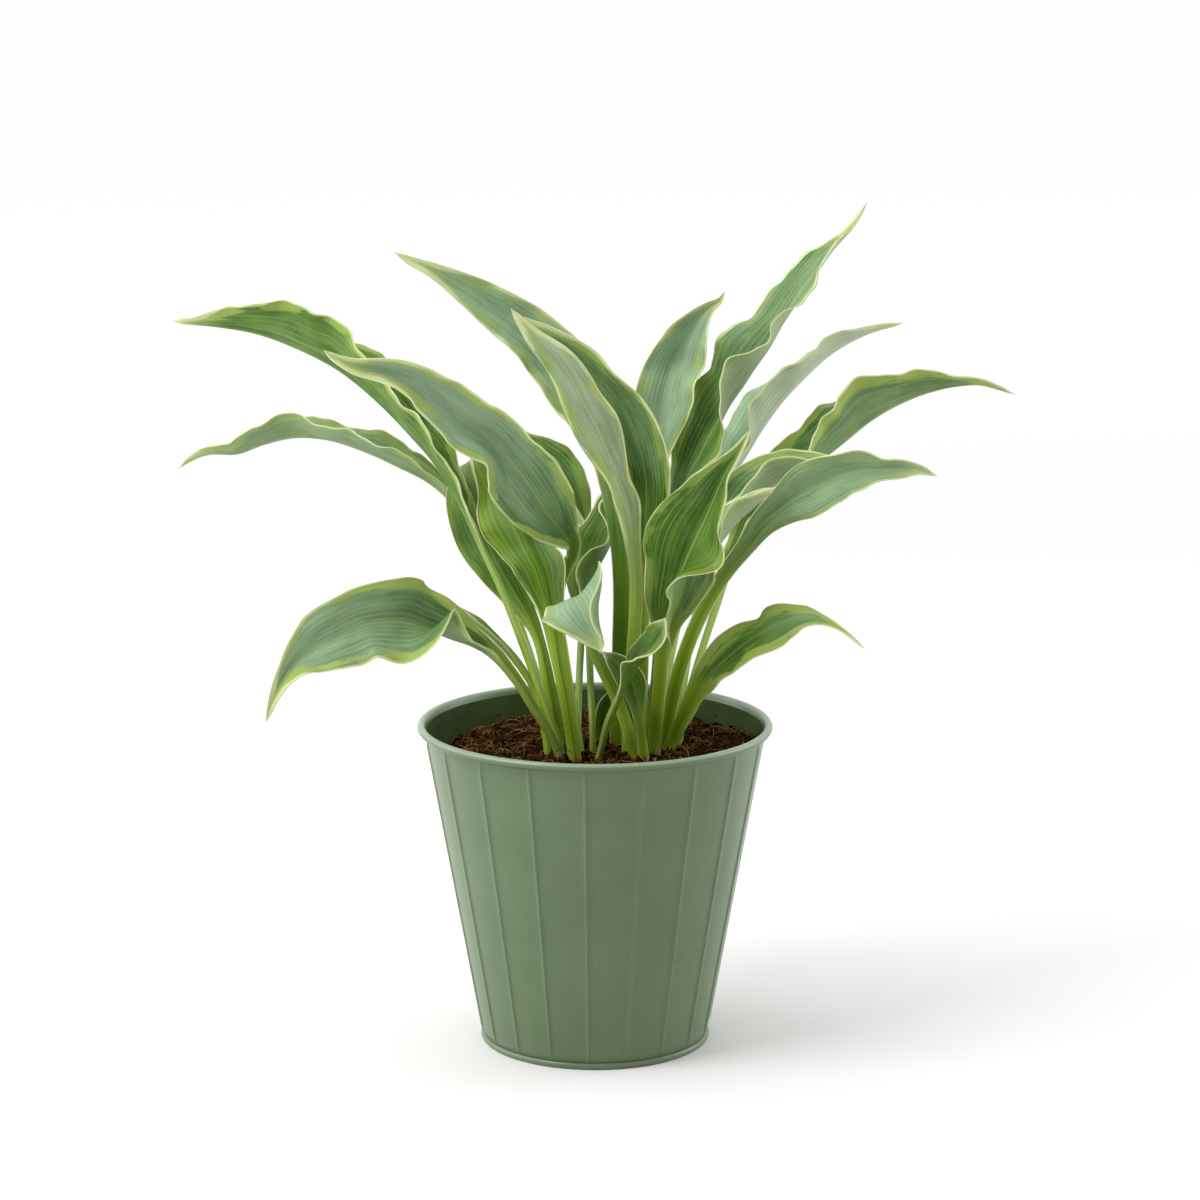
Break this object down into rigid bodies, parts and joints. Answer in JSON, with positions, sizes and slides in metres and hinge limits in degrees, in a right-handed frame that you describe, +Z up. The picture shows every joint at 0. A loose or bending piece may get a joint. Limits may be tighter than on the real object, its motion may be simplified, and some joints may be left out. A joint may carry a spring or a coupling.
{
  "type": "potted hosta plant",
  "caption": "Bushy potted plant with long pointed, cream-edged leaves on grooved stalks, in dark soil, in a tapered ribbed sheet-metal pot with a rolled rim.",
  "frame": {"origin": "centre of the pot's flat underside, which stands on the floor", "axes": "+Z up along the pot's axis, +X to the right and +Y away from the front view"},
  "size_m": [0.4519, 0.2404, 0.4329],
  "materials": {
    "pot_paint": "satin",
    "soil": "rough, damp coir",
    "leaf": "soft bluish bloom with pale cream margins"
  },
  "bodies": {
    "root": {"pot_wall": "pot_paint", "pot_base": "pot_paint", "soil": "soil", "leaf_far_left": "leaf", "leaf_front_left": "leaf", "leaf_left_inner": "leaf", "leaf_mid_left": "leaf", "leaf_left_low": "leaf", "leaf_left_low_back": "leaf", "leaf_upper_left": "leaf", "leaf_upper_left_front": "leaf", "leaf_centre_tall": "leaf", "leaf_back_upright": "leaf", "leaf_tallest": "leaf", "leaf_right_pale": "leaf", "leaf_far_right": "leaf", "leaf_right_broad": "leaf", "leaf_right_arched": "leaf", "leaf_right_small": "leaf", "leaf_front_centre": "leaf", "leaf_low_right": "leaf", "leaf_small_front": "leaf", "leaf_centre_twisted": "leaf", "leaf_nodding": "leaf", "leaf_back_left": "leaf", "leaf_back_middle": "leaf", "leaf_back_far_left": "leaf", "leaf_young": "leaf"}
  },
  "joints": []
}
